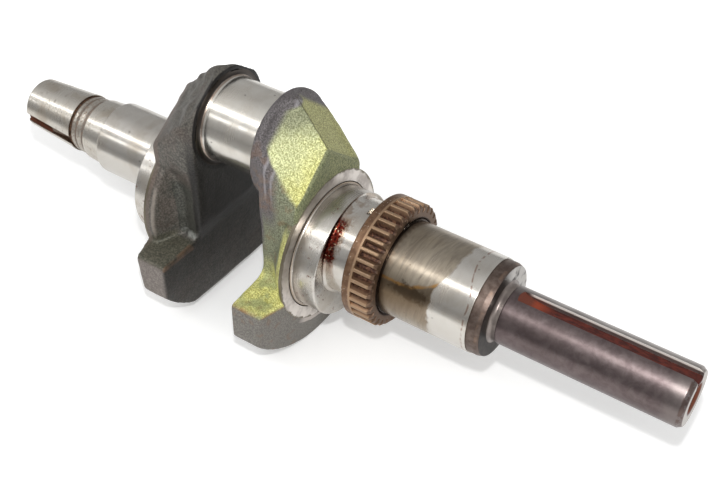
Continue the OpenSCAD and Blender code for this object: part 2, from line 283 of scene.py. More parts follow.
def turned_fillet(back, r):
    """The fillet where a turned radius meets the face behind it."""
    return arc(back + TURNED_FILLET, r + TURNED_FILLET, TURNED_FILLET, 180, 270, 8)


def output_neck():
    """The turned neck, with its fillet into the journal's step."""
    back, front = span("output_shaft_neck")
    r = radius("output_shaft") - 0.35 * MM
    return turned("output_neck", turned_fillet(back, r) + [(front, r)])


def journal_shoulder():
    """The dark unpolished end of the main journal, with its chamfer and the bright step face."""
    r = radius("journal_shoulder")
    back, front = span("journal_shoulder")
    profile = [(back, r - 0.1 * MM), (back + 0.3 * MM, r), (front - 2.1 * MM, r), (front, r - 0.7 * MM)]
    return turned("journal_shoulder_turned", softened(profile, 0.35 * MM))


def main_journal():
    """The polished main journal, with a hair line of a groove where the grinding stops."""
    r = radius("pto_main_journal")
    back, front = span("pto_main_journal")
    depth = 0.12 * MM
    groove = [(front - 0.5 * MM, r), (front - 0.25 * MM, r - depth), (front, r - depth)]
    return turned("main_journal", [(back, r)] + groove)


def gear_seat():
    """The ground seat behind the gear, with the end of the key slot."""
    r = radius("gear_seat")
    back, front = span("gear_seat")
    seat = turned("gear_seat_turned", turned_fillet(back, r) + [(front, r)])
    slot_end = start("timing_gear") - 5 * MM
    low, high = (slot_end, -KEY_HALF, GEAR_KEY_LOW.z), (front + MM, KEY_HALF, r + 5 * MM)
    return cut(seat, block("slot_cutter", low, high))


def gear_key():
    """The gear's key: a bar with rounded edges."""
    return break_edges(block("gear_key_bar", GEAR_KEY_LOW, GEAR_KEY_HIGH), 0.35 * MM, 3)


def gear_outline():
    """The teeth's outline as [(angle, radius)], with rounded tips and roots; a gap faces the crankpin."""
    gear_r = radius("timing_gear")
    module = gear_r * 2 / (TEETH + 2)
    root = gear_r - 2.25 * module
    stations = [(gear_r - 0.1 * MM, 50 / TEETH), (gear_r - module, 90 / TEETH), (root, 130 / TEETH)]
    beyond = 180 / TEETH

    def flat(degrees, r):
        return (r * math.cos(math.radians(degrees)), r * math.sin(math.radians(degrees)))

    points = []
    for tooth in range(TEETH):
        middle = (tooth + 0.5) * 360 / TEETH
        tooth_side = [flat(middle - half, r) for r, half in reversed(stations)]
        tooth_side += [flat(middle + half, r) for r, half in stations]
        whole = [flat(middle - beyond, root), *tooth_side, flat(middle + beyond, root)]
        points += [(math.atan2(v, u), math.hypot(u, v)) for u, v in softened(whole, TOOTH_FILLET)[1:-1]]
    return points


def timing_gear():
    """The gear as one loft: bore, flange, teeth with bevelled ends, and back to the bore."""
    outline = gear_outline()
    outer, bore = radius("timing_gear"), radius("gear_seat")
    back, front = span("timing_gear")
    flange = back + 4.2 * MM
    bevel = 1.3 * MM
    edge = 0.4 * MM

    def ring(x, rule):
        return [(x, rule(r) * math.sin(a), rule(r) * math.cos(a)) for a, r in outline]

    tip = outer - 0.1 * MM
    rings = [
        ring(back, lambda r: bore), ring(back, lambda r: outer - edge),
        ring(back + edge, lambda r: outer), ring(flange - edge / 2, lambda r: outer),
        ring(flange, lambda r: outer - edge / 2), ring(flange, lambda r: r),
        ring(front - bevel, lambda r: r), ring(front - bevel * 0.5, lambda r: min(r, tip - bevel * 0.55)),
        ring(front - 0.15 * MM, lambda r: min(r, tip - bevel) - 0.05 * MM),
        ring(front, lambda r: min(r, tip - bevel) - 0.25 * MM),
        ring(front, lambda r: bore + 0.8 * MM), ring(front - 0.8 * MM, lambda r: bore),
    ]
    bm = bmesh.new()
    loops = [[bm.verts.new(p) for p in r] for r in rings]
    count = len(outline)
    for a, b in zip(loops, loops[1:] + loops[:1]):
        for i in range(count):
            j = (i + 1) % count
            bm.faces.new((a[i], a[j], b[j], b[i]))
    bmesh.ops.recalc_face_normals(bm, faces=bm.faces)
    gear = object_from("timing_gear_cut", bm)
    slot = block("gear_slot_cutter", (back - MM, -KEY_HALF, 0), (front + MM, KEY_HALF, GEAR_KEY_HIGH.z))
    return cut(gear, slot, 0.1 * MM)


def eccentric(name, node, face, side):
    """A ground eccentric, with a turned fillet ring at its thrust face and a broken edge at the other end."""
    r = radius(node)
    far = start(node) if side < 0 else stop(node)
    ring = 0.65 * MM
    fillet = [(face, r + ring), (face + side * 0.3 * MM, r + ring * 0.4), (face + side * 0.7 * MM, r)]
    edge = [(far - side * 0.5 * MM, r), (far, r - 0.5 * MM)]
    profile = softened([(face, r + 2 * ring)] + fillet + edge + [(far, r - 3 * MM)], 0.2 * MM)
    return turned(name, profile, ECCENTRIC_Z)


def thrust_face(name, face, side, depth):
    """The turned disc beside an eccentric, with fine facing steps near its edge."""
    back, step = face - side * depth, face - side * 0.08 * MM
    return turned(name, [
        (back, DISC_R - 0.3 * MM), (back + side * 0.3 * MM, DISC_R), (face - side * 0.15 * MM, DISC_R),
        (face, DISC_R - 0.15 * MM), (face, DISC_R - 5 * MM), (step, DISC_R - 5.1 * MM),
    ], ECCENTRIC_Z)


def crankpin():
    """The ground crankpin between its fillets."""
    return turned("crankpin_ground", [(x, PIN_R) for x in span("crankpin")], PIN_Z)


def pin_fillet(name, node, cheek, side):
    """The rolled fillet at one end of the crankpin, with a narrow turned land beside it."""
    r = radius(node)
    fillet = abs(stop(node) - start(node))
    curve = arc(cheek + side * fillet, r, fillet, 90 + side * 90, 270 if side > 0 else -90, 10)
    land = [(cheek - side * 0.4 * MM, r + 0.9 * MM), (cheek, r + 0.5 * MM)]
    return turned(name, land + curve, PIN_Z)


def magneto_journal():
    """The flywheel side's journal, with a round corner towards the taper."""
    r = radius("magneto_journal")
    back, front = span("magneto_journal")
    profile = [(back, r - 3 * MM), (back, r - 0.8 * MM), (back + 0.8 * MM, r), (front, r)]
    return turned("magneto_journal_ground", softened(profile, 0.35 * MM))


def taper_root():
    """The taper behind the groove, with its turned lip."""
    back, front = span("taper_root")
    r = radius("taper_root")
    small = r - TAPER * (front - back)
    return turned("taper_root_ground", softened([(back, small - MM), (back, small), (front, r)], 0.3 * MM))


def taper_groove():
    """The worn groove round the taper: two rough lands and a bright strip between them."""
    back, front = span("taper_groove")
    r = radius("taper_groove")
    length = front - back
    shape = [(0, -0.75), (0.06, -0.95), (0.18, -0.5), (0.3, -0.75), (0.36, -0.35), (0.62, -0.3),
             (0.68, -0.65), (0.8, -0.4), (0.92, -0.7), (1, -0.1)]
    profile = [(back + t * length, r + drop * MM) for t, drop in shape]
    return turned("taper_groove_worn", softened(profile, 0.4 * MM))


def flywheel_taper():
    """The taper's end, with its keyway: deep at the tip, then shallow as far as the groove."""
    back, front = span("flywheel_taper")
    large = radius("flywheel_taper")
    tip = large - TAPER * (front - back)
    profile = [(back, tip - 4 * MM), (back, tip - 1.2 * MM), (back + 1.2 * MM, tip), (front, large)]
    piece = turned("flywheel_taper_ground", softened(profile, 0.4 * MM))
    out = Vector(mount("flywheel_keyway")["axis"])
    turn = Matrix.Rotation(math.atan2(-out.y, out.z), 4, "X")
    half = FLYWHEEL_KEY_HALF
    steps = ((FLYWHEEL_KEY_DEEP, FLYWHEEL_KEY_LENGTH), (FLYWHEEL_KEY_SHALLOW, front - back + MM))
    for floor, length in steps:
        low, high = (back - MM, -half, floor), (back + length, half, large + 2 * MM)
        cutter = block("flywheel_key_cutter", low, high)
        cutter.data.transform(turn)
        cut(piece, cutter, 0.1 * MM)
    return piece


# Forgings ------------------------------------------------------------------------------------------

VOXEL = 0.75 * MM
THRUST_GAP = 0.1 * MM  # how far a forging's skin stays behind its thrust face


def neighbours_mean(points, edges, degree):
    """The mean of each point's neighbours."""
    total = np.empty_like(points)
    for axis in range(3):
        total[:, axis] = np.bincount(edges[:, 0], points[edges[:, 1], axis], len(points))
        total[:, axis] += np.bincount(edges[:, 1], points[edges[:, 0], axis], len(points))
    return total / degree[:, None]


def relax(points, edges, weight, rounds):
    """Rounds a mesh off, more where weight is nearer to 1."""
    degree = np.maximum(np.bincount(edges.ravel(), minlength=len(points)), 1)
    for _ in range(rounds):
        points += weight[:, None] * 0.5 * (neighbours_mean(points, edges, degree) - points)


def ramp(value, low, high):
    """0 at low, 1 at high, and smooth between them, with low on either side of high."""
    t = np.clip((value - low) / (high - low), 0, 1)
    return t * t * (3 - 2 * t)


def rough_noise(points, size, seed):
    """A smooth random value from -1 to 1 at each point, with lumps of about this size."""
    shift = Vector((seed * 7.3, seed * 3.1, seed * 5.7))
    return np.array([noise.noise(Vector(p) / size + shift) for p in points])


def fused(name, nodes):
    """One closed skin over several CAD nodes."""
    bm = bmesh.new()
    for node in nodes:
        bm.from_mesh(frame["nodes"][node].data)
    bmesh.ops.remove_doubles(bm, verts=bm.verts, dist=1e-6)
    obj = object_from(name, bm)
    skin = obj.modifiers.new("skin", "REMESH")
    skin.mode = "VOXEL"
    skin.voxel_size = VOXEL
    return settle(obj)


def rows(items, key, width, kind=np.float64):
    """One attribute of a mesh's points or edges, with a row for each."""
    out = np.empty(len(items) * width, kind)
    items.foreach_get(key, out)
    return out.reshape(-1, width)


def shape_forging(obj, shape):
    """Passes a forging's points through a shaping function, then shades it smooth."""
    mesh = obj.data
    edges = rows(mesh.edges, "vertices", 2, np.int64)
    points = shape(rows(mesh.vertices, "co", 3), edges, rows(mesh.vertices, "normal", 3))
    mesh.vertices.foreach_set("co", points.ravel())
    mesh.update()
    mesh.polygons.foreach_set("use_smooth", np.ones(len(mesh.polygons), bool))
    mesh.set_sharp_from_angle(angle=SHARP_FORGED)
    return obj


def inside_outline(points):
    """How far each point lies inside the round end of a web, seen along the crank."""
    y, z = points[:, 1], points[:, 2]
    beside = BOSS_R - np.abs(y)
    above = BOSS_R - np.hypot(y, z - PIN_Z)
    return np.where(z > PIN_Z, above, beside)


def forged_surface(points, normals, seed, lumps):
    """The small unevenness of a forging's skin."""
    bumps = lumps * rough_noise(points, 9 * MM, seed)
    bumps += 0.06 * MM * rough_noise(points, 2.6 * MM, seed + 1)
    return points + normals * bumps[:, None]


def pto_forging():
    """The power take-off side's web, cheek and counterweight, with the soft rim round its facets."""
    def shape(points, edges, normals):
        x, y, z = points.T
        relax(points, edges, np.ones(len(points)), 3)
        upper = ramp(z, 8 * MM, 18 * MM)
        rim = ramp(x, PTO_INNER + 5 * MM, PTO_INNER + 8 * MM) * upper
        rim *= ramp(inside_outline(points), 6.5 * MM, 3 * MM)
        relax(points, edges, rim, 22)
        points += normals * (rim * 0.6 * MM)[:, None]
        flank = ramp(x, PTO_THRUST - 1.5 * MM, PTO_THRUST - 4 * MM)
        flank *= (1 - upper) * ramp(z, -16 * MM, -10 * MM)
        relax(points, edges, flank, 18)
        corner = ramp(np.abs(y), 15 * MM, 19 * MM) * ramp(x, PTO_THRUST - 11 * MM, PTO_THRUST - 7 * MM)
        corner *= ramp(z, 9 * MM, 13 * MM) * ramp(z, 27 * MM, 23 * MM)
        relax(points, edges, corner, 16)
        points = forged_surface(points, normals, 3, 0.13 * MM)
        points[:, 0] = np.minimum(points[:, 0], PTO_THRUST - THRUST_GAP)
        return points

    nodes = ("pto_web", "pto_counterweight", "pto_cheek", "pto_thrust_disc")
    return shape_forging(fused("pto_forging", nodes), shape)


def flywheel_forging():
    """The flywheel side's web and counterweight, with a lumpy crankpin end."""
    def shape(points, edges, normals):
        x, y, z = points.T
        relax(points, edges, np.ones(len(points)), 3)
        crease = ramp(x, PIN_FLYWHEEL - 14 * MM, PIN_FLYWHEEL - 8 * MM) * ramp(np.abs(y), 12 * MM, 16 * MM)
        crease *= ramp(z, -18 * MM, -13 * MM) * ramp(z, 28 * MM, 18 * MM)
        relax(points, edges, crease, 70)
        scoop = np.exp(-((x - FLYWHEEL_THRUST - 10 * MM) / (4 * MM)) ** 2) * ramp(np.abs(y), 15 * MM, 19 * MM)
        scoop *= ramp(z, -16 * MM, -10 * MM) * ramp(z, 16 * MM, 6 * MM)
        points -= normals * (scoop * 1.5 * MM)[:, None]
        outer = ramp(x, PIN_FLYWHEEL - 3 * MM, PIN_FLYWHEEL - 7 * MM)
        upper = outer * ramp(z, 14 * MM, 26 * MM)
        relax(points, edges, upper, 4)
        points += normals * (upper * 0.7 * MM)[:, None]
        points = forged_surface(points, normals, 11, 0.16 * MM)
        lumps = ramp(points[:, 2], 34 * MM, 48 * MM) * outer
        points += normals * (lumps * 0.9 * MM * rough_noise(points, 5 * MM, 5))[:, None]
        points[:, 0] = np.clip(points[:, 0], FLYWHEEL_THRUST + THRUST_GAP, PIN_FLYWHEEL)
        return points

    nodes = ("flywheel_web", "flywheel_counterweight", "flywheel_thrust_disc")
    return shape_forging(fused("flywheel_forging", nodes), shape)


# Node materials ------------------------------------------------------------------------------------


def mm(length):
    """A length in millimetres, as the materials count it."""
    return length / MM


def srgb(red, green, blue):
    """A colour as the eye names it, from 0 to 255, in the renderer's own values."""
    def linear(value):
        value /= 255
        return value / 12.92 if value <= 0.04045 else ((value + 0.055) / 1.055) ** 2.4
    return (linear(red), linear(green), linear(blue), 1)


class Nodes:
    """Short words for the nodes of a tree."""

    def __init__(self, tree):
        self.tree = tree

    def node(self, kind, **settings):
        made = self.tree.nodes.new(kind)
        for key, value in settings.items():
            setattr(made, key, value)
        return made

    def wire(self, value, socket):
        if isinstance(value, bpy.types.NodeSocket):
            self.tree.links.new(value, socket)
        else:
            socket.default_value = value

    def math(self, operation, a, b=0.0):
        made = self.node("ShaderNodeMath", operation=operation)
        self.wire(a, made.inputs[0])
        self.wire(b, made.inputs[1])
        return made.outputs[0]

    def add(self, a, b):
        return self.math("ADD", a, b)

    def sub(self, a, b):
        return self.math("SUBTRACT", a, b)

    def mul(self, a, b):
        return self.math("MULTIPLY", a, b)

    def length(self, a, b):
        """The length of a vector with these two parts."""
        return self.math("SQRT", self.add(self.mul(a, a), self.mul(b, b)))

    def step(self, value, low, high):
        """0 below low and 1 above high, smooth between; the other way round if low is above high."""
        made = self.node("ShaderNodeMapRange", interpolation_type="SMOOTHSTEP")
        self.wire(value, made.inputs["Value"])
        down = low > high
        made.inputs["From Min"].default_value = min(low, high)
        made.inputs["From Max"].default_value = max(low, high)
        made.inputs["To Min"].default_value = 1.0 if down else 0.0
        made.inputs["To Max"].default_value = 0.0 if down else 1.0
        return made.outputs["Result"]

    def band(self, value, middle, half, soft):
        """1 within half of the middle, fading over soft."""
        away = self.math("ABSOLUTE", self.sub(value, middle))
        return self.step(away, half + soft, half)

    def both(self, *masks):
        out = masks[0]
        for mask in masks[1:]:
            out = self.mul(out, mask)
        return out

    def either(self, a, b):
        return self.math("MAXIMUM", a, b)

    def split(self, vector):
        parts = self.node("ShaderNodeSeparateXYZ")
        self.wire(vector, parts.inputs[0])
        return parts.outputs

    def mix(self, factor, a, b, kind="RGBA"):
        """A colour between a and b."""
        made = self.node("ShaderNodeMix", data_type=kind)
        self.wire(factor, made.inputs["Factor"])
        self.wire(a, made.inputs["A"])
        self.wire(b, made.inputs["B"])
        return made.outputs["Result"]

    def blend(self, factor, a, b):
        """A number between a and b."""
        return self.mix(factor, a, b, "FLOAT")


class Finish(Nodes):
    """A procedural material, painted in layers. Lengths are in millimetres, and colours from 0 to 255."""

    def __init__(self, name, base=None):
        self.material = bpy.data.materials.new(name)
        self.material.use_nodes = True
        super().__init__(self.material.node_tree)
        self.shader = next(n for n in self.tree.nodes if n.type == "BSDF_PRINCIPLED")
        scaled = self.node("ShaderNodeVectorMath", operation="SCALE")
        self.wire(self.node("ShaderNodeTexCoord").outputs["Object"], scaled.inputs[0])
        scaled.inputs["Scale"].default_value = 1 / MM
        self.place = scaled.outputs["Vector"]
        self.x, self.y, self.z = self.split(self.place)
        self.side = self.math("ABSOLUTE", self.y)
        self.colour = base and srgb(*base)
        self.shine = 0.5
        self.normal = None

    def off_axis(self, centre_z=0.0):
        """Distance from an axis along the crank."""
        return self.length(self.y, self.sub(self.z, mm(centre_z)))

    def angle(self, centre_z=0.0):
        """Angle about an axis along the crank, in degrees from +Z towards -Y."""
        z = self.sub(self.z, mm(centre_z))
        return self.mul(self.math("ARCTAN2", self.mul(self.y, -1.0), z), 180 / math.pi)

    def noise(self, size, detail=2.0, rough=0.5, at=None, warp=0.0):
        """A random value about 0.5, in patches of about this many millimetres."""
        made = self.node("ShaderNodeTexNoise")
        self.wire(at or self.place, made.inputs["Vector"])
        made.inputs["Scale"].default_value = 1 / size
        made.inputs["Detail"].default_value = detail
        made.inputs["Roughness"].default_value = rough
        made.inputs["Distortion"].default_value = warp
        return made.outputs["Fac"]

    def streaks(self, x, y, z, detail=3, rough=0.6, warp=0.0):
        """A random value about 0.5, drawn out into lines by its own coordinates."""
        made = self.node("ShaderNodeCombineXYZ")
        for value, socket in zip((x, y, z), made.inputs):
            self.wire(value, socket)
        return self.noise(1.0, detail, rough, made.outputs[0], warp)

    def patches(self, size, low, high, detail=3, rough=0.5, warp=0.0):
        """Random patches of about this size: 0 where the noise is below low, and 1 above high."""
        return self.step(self.noise(size, detail, rough, warp=warp), low, high)

    def wander(self, width, size, detail=2, rough=0.5):
        """A random length that strays over this width, in patches of about this size."""
        return self.mul(self.sub(self.noise(size, detail, rough), 0.5), width)

    def specks(self, size):
        """Distance from random points that lie about this far apart, in cells."""
        made = self.node("ShaderNodeTexVoronoi")
        self.wire(self.place, made.inputs["Vector"])
        made.inputs["Scale"].default_value = 1 / size
        return made.outputs["Distance"]

    def tones(self, value, low, high, dark, light):
        """A colour that goes from dark to light as a value goes from low to high."""
        return self.mix(self.step(value, low, high), srgb(*dark), srgb(*light))

    def paint(self, mask, top, strength=1.0):
        """Lays a colour over what is there, where the mask is 1. The colour may be a node's."""
        if isinstance(top, tuple):
            top = srgb(*top)
        if strength != 1.0:
            mask = self.mul(mask, strength)
        self.colour = self.mix(mask, self.colour, top)

    def bump(self, height, depth):
        """Raises the surface by up to depth millimetres where height is 1."""
        made = self.node("ShaderNodeBump")
        made.inputs["Strength"].default_value = 1.0
        made.inputs["Distance"].default_value = depth * MM
        self.wire(height, made.inputs["Height"])
        if self.normal:
            self.wire(self.normal, made.inputs["Normal"])
        self.normal = made.outputs["Normal"]

    def finish(self, metallic=1.0):
        """The material, with its layers joined to the shader."""
        self.wire(self.colour, self.shader.inputs["Base Color"])
        self.wire(self.shine, self.shader.inputs["Roughness"])
        self.wire(metallic, self.shader.inputs["Metallic"])
        if self.normal:
            self.wire(self.normal, self.shader.inputs["Normal"])
        return self.material


# Steel finishes ------------------------------------------------------------------------------------

RUST = (112, 58, 36)
DARK_RUST = (58, 32, 26)
OIL = (92, 70, 48)


def turned_lines(f, centre_z, pitch):
    """Fine lines round a turned or ground surface, a little uneven along their length."""
    turn = f.mul(f.angle(centre_z), 0.02)
    return f.streaks(f.mul(f.x, 1 / pitch), turn, f.mul(f.off_axis(centre_z), 1 / pitch))


def polished(name, centre_z=0.0, tone=(214, 210, 203), roughness=0.2, stain=0.35, marks=None):
    """Ground bearing steel: fine lines, faint brown oil clouds and small pits. marks adds a piece's own."""
    f = Finish(name, tone)
    turn = f.angle(centre_z)
    cloud = f.patches(14, 0.42, 0.75, 3, 0.6, 0.6)
    f.paint(cloud, (168, 150, 124), stain)
    streak = f.step(f.streaks(f.mul(f.x, 0.09), f.mul(turn, 0.016), 3.0), 0.4, 0.8)
    f.paint(streak, (150, 132, 108), stain * 0.8)
    f.paint(f.step(f.specks(7), 0.075, 0.03), DARK_RUST, 0.75)
    lines = turned_lines(f, centre_z, 0.35)
    f.shine = f.add(roughness - 0.05, f.add(f.mul(lines, 0.1), f.mul(cloud, 0.08)))
    if marks:
        marks(f)
    f.bump(lines, 0.006)
    f.bump(f.streaks(f.mul(f.x, 5.0), f.mul(turn, 0.06), 0.0, 2, 0.5), 0.004)
    return f.finish()


def journal_marks(f):
    """The dried oil beside the gear: a golden film of fine arcs, darker along a line where it ran, and
    painted shade round its near side.
    """
    turn = f.angle()
    along = f.sub(f.x, mm(start("pto_main_journal")))
    sway = f.wander(5.0, 7, 3, 0.6)
    reach = f.sub(f.blend(f.step(turn, 20.0, 60.0), 29.0, 24.5), f.step(turn, -10.0, 20.0))
    film = f.step(f.sub(f.add(along, sway), reach), 0.9, -0.6)
    arcs = f.streaks(f.mul(f.add(along, f.mul(turn, 0.05)), 0.55), f.mul(turn, 0.03), 2.0, warp=1.2)
    f.paint(film, f.tones(arcs, 0.3, 0.75, (164, 149, 126), (116, 101, 82)), 0.75)
    f.paint(f.both(film, f.step(along, 15.0, 6.0)), (96, 82, 64), 0.35)

    bow = f.math("POWER", f.mul(f.math("MAXIMUM", f.sub(along, 9.0), 0.0), 0.1), 1.6)
    run = f.sub(f.sub(66.0, f.mul(bow, 9.0)), f.add(turn, f.wander(9.0, 6)))
    tail = f.both(film, f.step(run, 4.0, -3.0), f.step(run, -46.0, -14.0))
    f.paint(tail, (98, 82, 62), 0.75)
    gold = f.both(film, f.band(run, 0.5, 0.6, 2.6), f.patches(4, 0.3, 0.6))
    f.paint(gold, (176, 128, 62), 0.7)

    away = f.length(f.mul(f.sub(along, 14.0), 0.11), f.mul(f.sub(turn, 70.0), 0.095))
    f.paint(f.step(f.add(away, f.wander(2.2, 3.2, 4, 0.7)), 1.1, 0.55), (66, 52, 38), 0.75)
    line = f.sub(f.x, f.blend(f.step(turn, 0.0, 60.0), 11.0, 16.0))
    edge = f.band(f.add(line, f.mul(sway, 0.25)), 0.0, 0.15, 0.35)
    f.paint(f.both(edge, f.patches(2.5, 0.4, 0.55, 2)), (128, 78, 52), 0.6)
    # Painted shade: the film is darkened round the side that faces the camera, low down, where the steel
    # mirrors a dark room.
    lower = f.both(film, f.step(turn, 56.0, 84.0), f.step(turn, 120.0, 96.0))
    f.paint(lower, (118, 98, 76), 0.4)
    f.paint(f.step(along, 0.9, 0.4), (58, 44, 34), 0.8)
    f.shine = f.add(f.shine, f.mul(film, 0.09))


def seat_marks(f):
    """Dried red grease in the corner beside the eccentric, with painted highlights on it, and brown smears by
    the key slot.
    """
    turn = f.angle()
    ragged = f.wander(9.0, 2.2, 5, 0.8)
    corner = f.add(f.sub(f.x, mm(start("gear_seat"))), ragged)
    halo = f.both(f.step(corner, 6.4, 4.4), f.step(turn, 10.0, 26.0), f.step(turn, 104.0, 82.0))
    f.paint(halo, (134, 98, 66), 0.55)
    end = mm(stop("gear_seat"))
    f.paint(f.step(f.x, end - 0.5, end - 0.1), (64, 50, 40))
    smear = f.both(f.step(corner, 9.0, 3.0), f.step(turn, 100.0, 60.0), f.patches(3.0, 0.42, 0.62))
    f.paint(smear, (138, 106, 74), 0.5)

    strayed = f.add(turn, f.mul(ragged, 3.0))
    grease = f.both(f.step(corner, 4.4, 3.6), f.step(strayed, 20.0, 30.0), f.step(strayed, 84.0, 72.0))
    tint = f.tones(f.noise(0.9, 3, 0.7), 0.4, 0.66, (44, 12, 10), (118, 44, 32))
    # The pale patches on the grease are painted highlights.
    f.paint(grease, f.mix(f.patches(1.3, 0.6, 0.66, 3, 0.7), tint, srgb(196, 168, 138)))
    f.shine = f.blend(grease, f.shine, 0.3)


def pin_marks(f):
    """Brown-black oil round the outside of the fillets, darkened as a painted dark reflection, with a fine
    brown line in it.
    """
    out, edge = f.off_axis(PIN_Z), mm(PIN_R)
    # Oil and a painted dark reflection: the outside of the fillets is painted near black.
    ring = f.step(f.add(out, f.wander(0.5, 3, 3)), edge + 0.4, edge + 0.8)
    f.paint(ring, (40, 30, 26), 0.93)
    f.paint(f.band(out, edge + 0.42, 0.1, 0.25), (128, 92, 66), 0.6)
    f.shine = f.add(f.shine, f.mul(ring, 0.15))


def eccentric_marks(f):
    """Small rust spots, faint oil clouds, a painted dark reflection on the upper part, and a stained corner.
    """
    spots = f.both(f.patches(1.6, 0.6, 0.67, 3, 0.7), f.patches(12, 0.46, 0.58, 2))
    f.paint(spots, RUST, 0.8)
    f.paint(f.patches(22, 0.45, 0.65, 2, 0.5, 1.0), OIL, 0.14)
    # Painted reflection: the upper far side is painted darker, as where the steel mirrors something dark.
    f.paint(f.step(f.angle(ECCENTRIC_Z), 8.0, -14.0), (128, 118, 104), 0.45)
    edge = mm(ECCENTRIC_R)
    f.paint(f.step(f.off_axis(ECCENTRIC_Z), edge + 0.05, edge + 0.35), (140, 112, 78), 0.5)
    f.shine = f.add(f.shine, f.mul(spots, 0.2))


def gunmetal(name):
    """The output shaft: darkened ground steel, mottled, with rust in the keyway and at the end, a painted
    reflection along its top and a painted glint along the keyway's far edge.
    """
    f = Finish(name)
    lines = turned_lines(f, 0.0, 0.5)
    mottle = f.noise(3.2, 4, 0.65, warp=0.4)
    f.colour = f.tones(mottle, 0.3, 0.72, (102, 90, 90), (122, 110, 109))
    # Painted reflection: the top of the shaft, on its far side, is painted lighter.
    f.paint(f.step(f.angle(), 4.0, -22.0), (176, 170, 166))
    f.paint(f.patches(16, 0.42, 0.7, 2), (90, 78, 77), 0.4)

    front = mm(stop("output_shaft"))
    f.paint(f.step(f.x, front - 12, front - 3), (150, 142, 138), 0.45)
    f.paint(f.step(f.x, front - 0.12, front - 0.02), (196, 190, 184))
    rim = f.both(f.step(f.x, front - 2.6, front - 1.9), f.step(f.x, front - 0.05, front - 0.6))
    f.paint(f.both(rim, f.patches(1.6, 0.42, 0.55)), (84, 60, 50), 0.55)
    out, edge = f.off_axis(), mm(radius("output_shaft"))
    hole = f.step(out, 7.0, 6.0)
    f.paint(f.both(hole, f.step(f.x, front - 30, front - 28)), RUST)

    half, floor = mm(KEY_WIDTH) / 2, mm(KEY_FLOOR)
    slot = f.both(f.step(f.side, half + 0.02, half - 0.04), f.step(f.z, 7.0, 8.0),
                  f.step(out, edge - 0.12, edge - 0.3))
    grain = f.streaks(f.mul(f.x, 0.25), f.mul(f.y, 0.9), 0.0)
    f.paint(slot, f.tones(grain, 0.35, 0.7, (58, 22, 18), (100, 40, 28)))
    run_out = f.step(f.add(f.x, f.mul(grain, 4.0)), front - 58, front - 66)
    f.paint(f.both(slot, run_out), (150, 66, 38), 0.7)
    f.paint(f.both(slot, f.step(f.z, floor + 0.3, floor + 0.9)), (66, 44, 36), 0.6)
    # Painted glint: a thin white line along the far edge of the slot.
    key_edge_glint = f.both(f.band(f.y, half + 0.12, 0.14, 0.08), f.step(f.x, front - 73, front - 70),
                      f.step(f.z, 11.0, 11.6))
    f.paint(key_edge_glint, (240, 234, 226), 0.85)

    dirt = f.either(slot, f.mul(hole, 0.8))
    f.shine = f.blend(dirt, f.add(0.27, f.add(f.mul(mottle, 0.12), f.mul(lines, 0.05))), 0.75)
    f.bump(lines, 0.006)
    f.bump(f.mul(dirt, grain), 0.25)
    f.bump(mottle, 0.01)
    return f.finish(f.mul(f.blend(dirt, 1.0, 0.25), f.sub(1.0, f.mul(key_edge_glint, 0.85))))


def machined(name, tone=(212, 206, 200), centre_z=ECCENTRIC_Z, ragged=None):
    """Turned steel faces with fine rings, and past the radius ragged the dark edge of the forging and painted
    shade on its upper near side.
    """
    f = Finish(name, tone)
    out, turn = f.off_axis(centre_z), f.angle(centre_z)
    rings = f.streaks(f.mul(out, 2.6), f.mul(turn, 0.012), f.mul(f.x, 1.5))
    cloud = f.noise(8, 3, 0.6)
    f.paint(f.step(cloud, 0.35, 0.7), (162, 152, 145), 0.8)
    if ragged:
        edge = f.add(out, f.wander(4.2, 4.5, 4, 0.7))
        f.paint(f.step(edge, ragged - 0.5, ragged + 0.3), (122, 114, 98))
        # Painted shade over the upper near side of the disc.
        shade = f.both(f.step(turn, -14.0, 26.0), f.step(turn, 112.0, 78.0))
        f.paint(shade, (104, 96, 82), 0.6)
    f.shine = f.add(0.24, f.add(f.mul(rings, 0.12), f.mul(cloud, 0.1)))
    f.bump(rings, 0.02)
    return f.finish(0.72)


def oiled(name):
    """The unpolished band at the journal's end: dried brown oil over turned steel, and a step face that is
    dark with oil and a painted dark reflection, with a painted pale reflection on its far side.
    """
    f = Finish(name)
    film = f.noise(2.6, 3, 0.6)
    f.colour = f.tones(film, 0.3, 0.7, (96, 82, 75), (122, 108, 100))
    end = mm(stop("journal_shoulder"))
    worn = f.both(f.band(f.x, end - 1.2, 0.3, 0.6), f.patches(4, 0.5, 0.65))
    f.paint(worn, (160, 132, 112), 0.35)
    face = f.step(f.x, end - 0.15, end - 0.02)
    # Painted reflection: the far side of the step face is pale, the rest dark with oil and a painted dark
    # reflection.
    bright = f.both(f.step(f.y, -4.0, 6.0), f.patches(5, 0.3, 0.5))
    oil_and_dark_reflection = f.tones(f.noise(3, 3), 0.35, 0.65, (44, 38, 35), (66, 58, 53))
    f.paint(face, f.mix(bright, oil_and_dark_reflection, srgb(190, 186, 182)))
    f.shine = f.blend(face, f.add(0.42, f.mul(film, 0.1)), 0.34)
    rings = f.streaks(f.mul(f.off_axis(), 2.0), 0.0, 0.0)
    f.bump(f.add(turned_lines(f, 0.0, 0.3), f.mul(face, rings)), 0.012)
    return f.finish()


def rusted(name):
    """The worn groove: a dark line at each side, and bright metal with brown specks between them."""
    f = Finish(name, (190, 184, 174))
    first, last = mm(start("taper_groove")), mm(stop("taper_groove"))
    at = f.add(f.x, f.wander(1.4, 1.6, 3, 0.7))
    grain = f.noise(0.9, 4, 0.7)
    edge = f.either(f.step(at, first + 1.5, first + 0.9), f.mul(f.step(at, last - 2.6, last - 2.0), 0.7))
    line = f.band(at, (first + last) / 2 - 0.6, 0.35, 0.5)
    dirt = f.either(edge, f.mul(f.either(line, f.step(grain, 0.48, 0.62)), 0.75))
    f.paint(dirt, f.tones(grain, 0.35, 0.65, (46, 34, 28), (112, 82, 60)))
    f.shine = f.blend(dirt, 0.3, 0.6)
    f.bump(grain, 0.06)
    return f.finish(f.blend(dirt, 1.0, 0.5))


